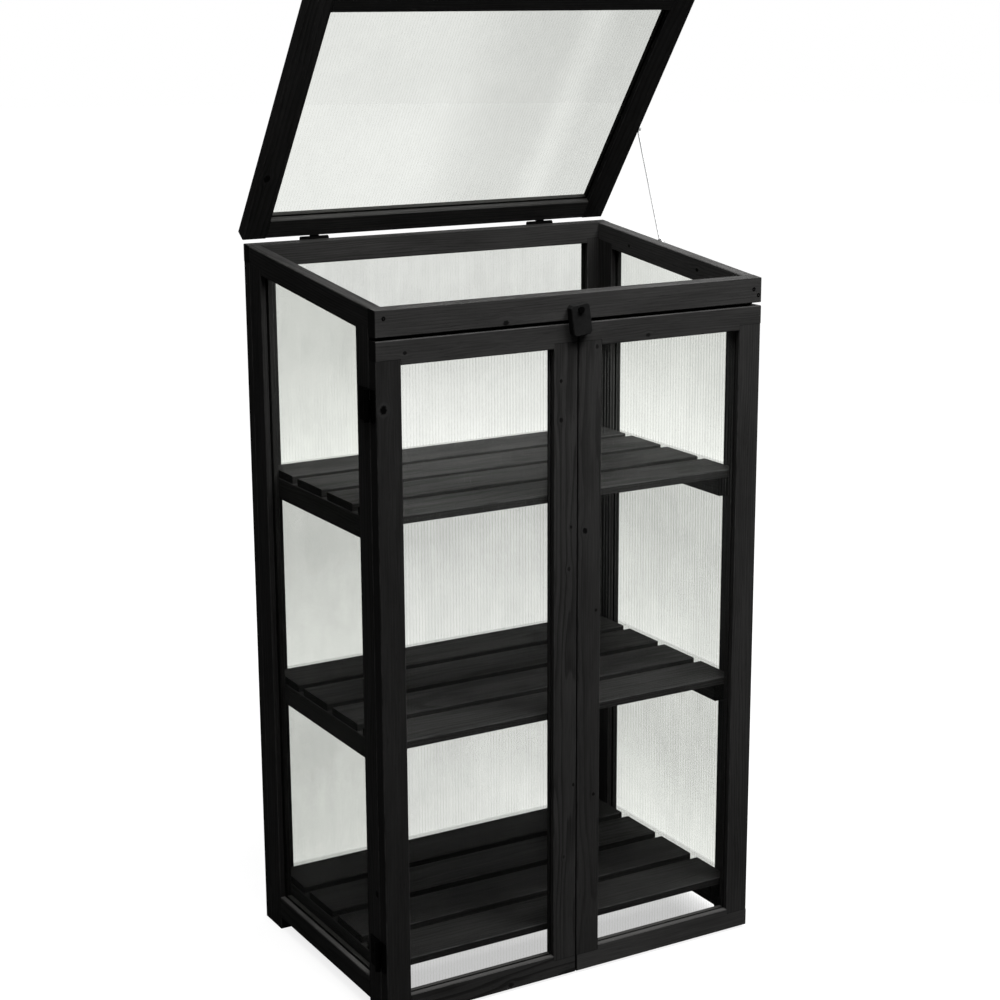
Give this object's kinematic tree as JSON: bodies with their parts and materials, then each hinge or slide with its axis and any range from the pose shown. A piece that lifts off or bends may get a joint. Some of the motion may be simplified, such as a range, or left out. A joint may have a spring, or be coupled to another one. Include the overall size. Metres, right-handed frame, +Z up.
{
  "type": "balcony greenhouse",
  "caption": "Tall narrow balcony greenhouse of dark stained wood with translucent twin-wall panels, slatted shelves, front doors held by a turn button and a sloping lid propped by a stay.",
  "frame": {"origin": "on the floor, under the middle of the whole outline as stored, from the turn button's screw head to the raised lid's back edge", "axes": "+Z up, -Y towards the front with the doors, +X to the right seen from the front"},
  "size_m": [0.7196, 0.509, 1.601],
  "materials": {
    "stained_wood": "softwood with an almost black stain, matt, grain showing",
    "twin_wall_sheet": "translucent twin-wall plastic sheet with upright flutes",
    "black_steel": "matt black coating",
    "bright_steel": "bright zinc plating"
  },
  "bodies": {
    "carcass": {"back_bottom_rail": "stained_wood", "back_left_stile": "stained_wood", "back_panel": "twin_wall_sheet", "back_right_stile": "stained_wood", "back_top_rail": "stained_wood", "bottom_shelf_left_cleat": "stained_wood", "bottom_shelf_right_cleat": "stained_wood", "bottom_shelf_slat_1": "stained_wood", "bottom_shelf_slat_2": "stained_wood", "bottom_shelf_slat_3": "stained_wood", "bottom_shelf_slat_4": "stained_wood", "door_stop": "stained_wood", "frame_hinge_leaves": "black_steel", "front_top_rail": "stained_wood", "hinge_pins": "black_steel", "left_side_back_stile": "stained_wood", "left_side_bottom_rail": "stained_wood", "left_side_front_stile": "stained_wood", "left_side_panel": "twin_wall_sheet", "left_side_top_rail": "stained_wood", "middle_shelf_left_cleat": "stained_wood", "middle_shelf_right_cleat": "stained_wood", "middle_shelf_slat_1": "stained_wood", "middle_shelf_slat_2": "stained_wood", "middle_shelf_slat_3": "stained_wood", "middle_shelf_slat_4": "stained_wood", "right_side_back_stile": "stained_wood", "right_side_bottom_rail": "stained_wood", "right_side_front_stile": "stained_wood", "right_side_panel": "twin_wall_sheet", "right_side_top_rail": "stained_wood", "stay_screw": "bright_steel", "top_shelf_left_cleat": "stained_wood", "top_shelf_right_cleat": "stained_wood", "top_shelf_slat_1": "stained_wood", "top_shelf_slat_2": "stained_wood", "top_shelf_slat_3": "stained_wood", "top_shelf_slat_4": "stained_wood", "turn_button_screw": "bright_steel"},
    "lid": {"lid_back_rail": "stained_wood", "lid_front_rail": "stained_wood", "lid_hinge_leaves": "black_steel", "lid_left_stile": "stained_wood", "lid_panel": "twin_wall_sheet", "lid_right_stile": "stained_wood", "stay_peg": "bright_steel"},
    "left_door": {"left_door_bottom_rail": "stained_wood", "left_door_hinge_leaves": "black_steel", "left_door_hinge_stile": "stained_wood", "left_door_meeting_stile": "stained_wood", "left_door_panel": "twin_wall_sheet", "left_door_top_rail": "stained_wood"},
    "right_door": {"right_door_bottom_rail": "stained_wood", "right_door_hinge_leaves": "black_steel", "right_door_hinge_stile": "stained_wood", "right_door_meeting_stile": "stained_wood", "right_door_panel": "twin_wall_sheet", "right_door_top_rail": "stained_wood"},
    "turn_button": {"turn_button": "stained_wood"},
    "lid_stay": {"lid_stay": "bright_steel"}
  },
  "joints": [
    {"name": "lid_hinge", "type": "hinge", "parent": "carcass", "child": "lid", "pos_m": [0, 0.23874, 1.19], "axis": [-1, 0, 0], "range_deg": [-60, 45]},
    {"name": "left_door_hinge", "type": "hinge", "parent": "carcass", "child": "left_door", "pos_m": [-0.3553, -0.21681, 0.54], "axis": [0, 0, -1], "range_deg": [0, 170]},
    {"name": "right_door_hinge", "type": "hinge", "parent": "carcass", "child": "right_door", "pos_m": [0.3553, -0.21681, 0.54], "axis": [0, 0, 1], "range_deg": [0, 170]},
    {"name": "turn_button_pivot", "type": "hinge", "parent": "carcass", "child": "turn_button", "pos_m": [-0.0035, -0.23946, 1.11406], "axis": [0, -1, 0], "range_deg": [-90, 90]},
    {"name": "lid_stay_pivot", "type": "hinge", "parent": "carcass", "child": "lid_stay", "pos_m": [0.3545, 0.05444, 1.16442], "axis": [1, 0, 0], "range_deg": [0, 115]}
  ]
}
